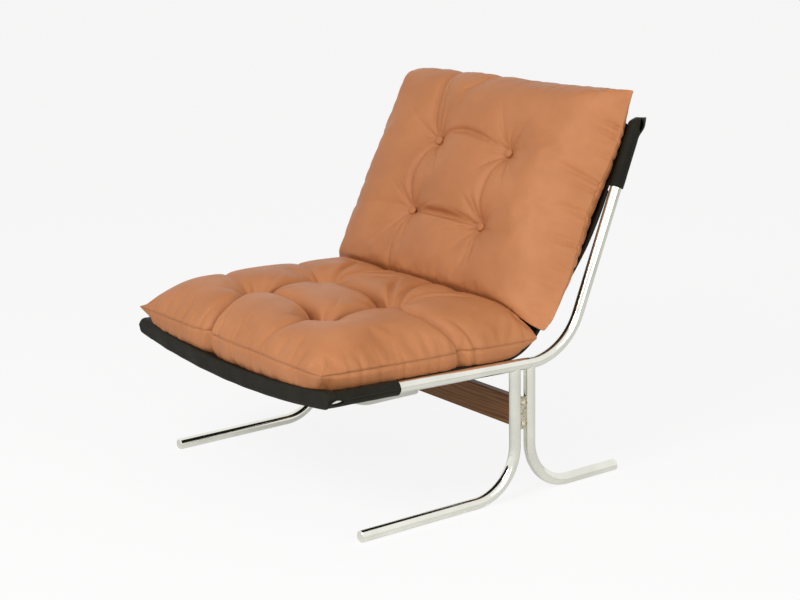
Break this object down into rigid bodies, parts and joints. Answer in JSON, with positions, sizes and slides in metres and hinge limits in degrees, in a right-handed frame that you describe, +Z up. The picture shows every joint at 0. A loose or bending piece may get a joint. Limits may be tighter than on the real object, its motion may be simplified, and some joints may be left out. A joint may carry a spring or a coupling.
{
  "type": "lounge chair",
  "caption": "Low lounge chair: bent chrome tube side frames, timber stretcher, black leather sling and loose button-tufted leather cushions for seat and back",
  "frame": {"origin": "on the floor, below the middle of the box around the chair", "axes": "+Z up, the chair faces -Y, +X is the left side of the sitter"},
  "size_m": [0.686, 0.751, 0.7493],
  "materials": {
    "chrome_tube": "polished",
    "leg_plate": "satin",
    "fixings": "satin",
    "timber": "satin",
    "sling_leather": "satin",
    "cushion_leather": "satin",
    "foam": "matte",
    "cord": "matte"
  },
  "bodies": {
    "frame": {"left_rail": "chrome_tube", "left_front_leg": "chrome_tube", "left_rear_leg": "chrome_tube", "left_leg_plate": "leg_plate", "left_front_sleeve": "sling_leather", "left_back_sleeve": "sling_leather", "right_rail": "chrome_tube", "right_front_leg": "chrome_tube", "right_rear_leg": "chrome_tube", "right_leg_plate": "leg_plate", "right_front_sleeve": "sling_leather", "right_back_sleeve": "sling_leather", "foot_plugs": "chrome_tube", "rail_plugs": "chrome_tube", "stretcher": "timber", "stretcher_bolts": "fixings", "stretcher_barrel_nuts": "fixings", "sling_panel": "sling_leather", "sling_front_hem": "sling_leather", "sling_top_hem": "sling_leather"},
    "seat_cushion": {"seat_cushion_cover_front": "cushion_leather", "seat_cushion_cover_rear": "cushion_leather", "seat_cushion_core": "foam", "seat_cushion_buttons": "cushion_leather", "seat_cushion_rear_buttons": "cushion_leather", "seat_cushion_tuft_cords": "cord"},
    "back_cushion": {"back_cushion_cover_front": "cushion_leather", "back_cushion_cover_rear": "cushion_leather", "back_cushion_core": "foam", "back_cushion_buttons": "cushion_leather", "back_cushion_rear_buttons": "cushion_leather", "back_cushion_tuft_cords": "cord"}
  },
  "joints": [
    {"name": "seat_cushion_lift", "type": "slide", "parent": "frame", "child": "seat_cushion", "axis": [0, -0.9063, 0.4226], "range_m": [0, 0.15]},
    {"name": "back_cushion_lift", "type": "slide", "parent": "frame", "child": "back_cushion", "axis": [0, -0.5, 0.866], "range_m": [0, 0.15]}
  ]
}
